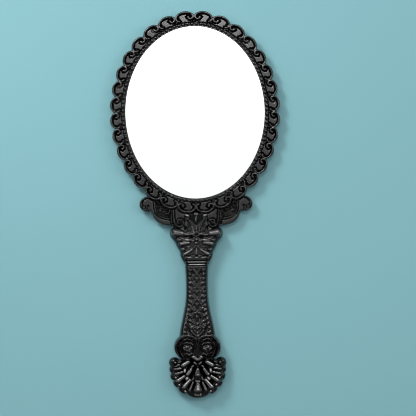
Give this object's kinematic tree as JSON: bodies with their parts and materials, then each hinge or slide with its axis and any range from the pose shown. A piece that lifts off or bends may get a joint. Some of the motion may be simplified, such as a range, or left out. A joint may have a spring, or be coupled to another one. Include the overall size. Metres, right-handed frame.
{
  "type": "hand mirror",
  "caption": "Hand mirror with an oval glass, a scalloped lace-like rim and a carved waisted handle, lying face up.",
  "frame": {"origin": "middle of the footprint, on the surface that the back lies on", "axes": "+Y from the end of the handle to the top of the head, +Z out of the mirror face, +X to the right as one looks at the face"},
  "size_m": [0.1092, 0.248, 0.0141],
  "materials": {
    "shell_plastic": "glossy black injection moulding",
    "silvered_glass": "float glass silvered on its back face",
    "foam_tape": "white closed-cell foam tape"
  },
  "bodies": {
    "root": {"front_shell": "shell_plastic", "back_shell": "shell_plastic", "mirror_glass": "silvered_glass", "foam_tape_1": "foam_tape", "foam_tape_2": "foam_tape", "foam_tape_3": "foam_tape", "foam_tape_4": "foam_tape"}
  },
  "joints": []
}
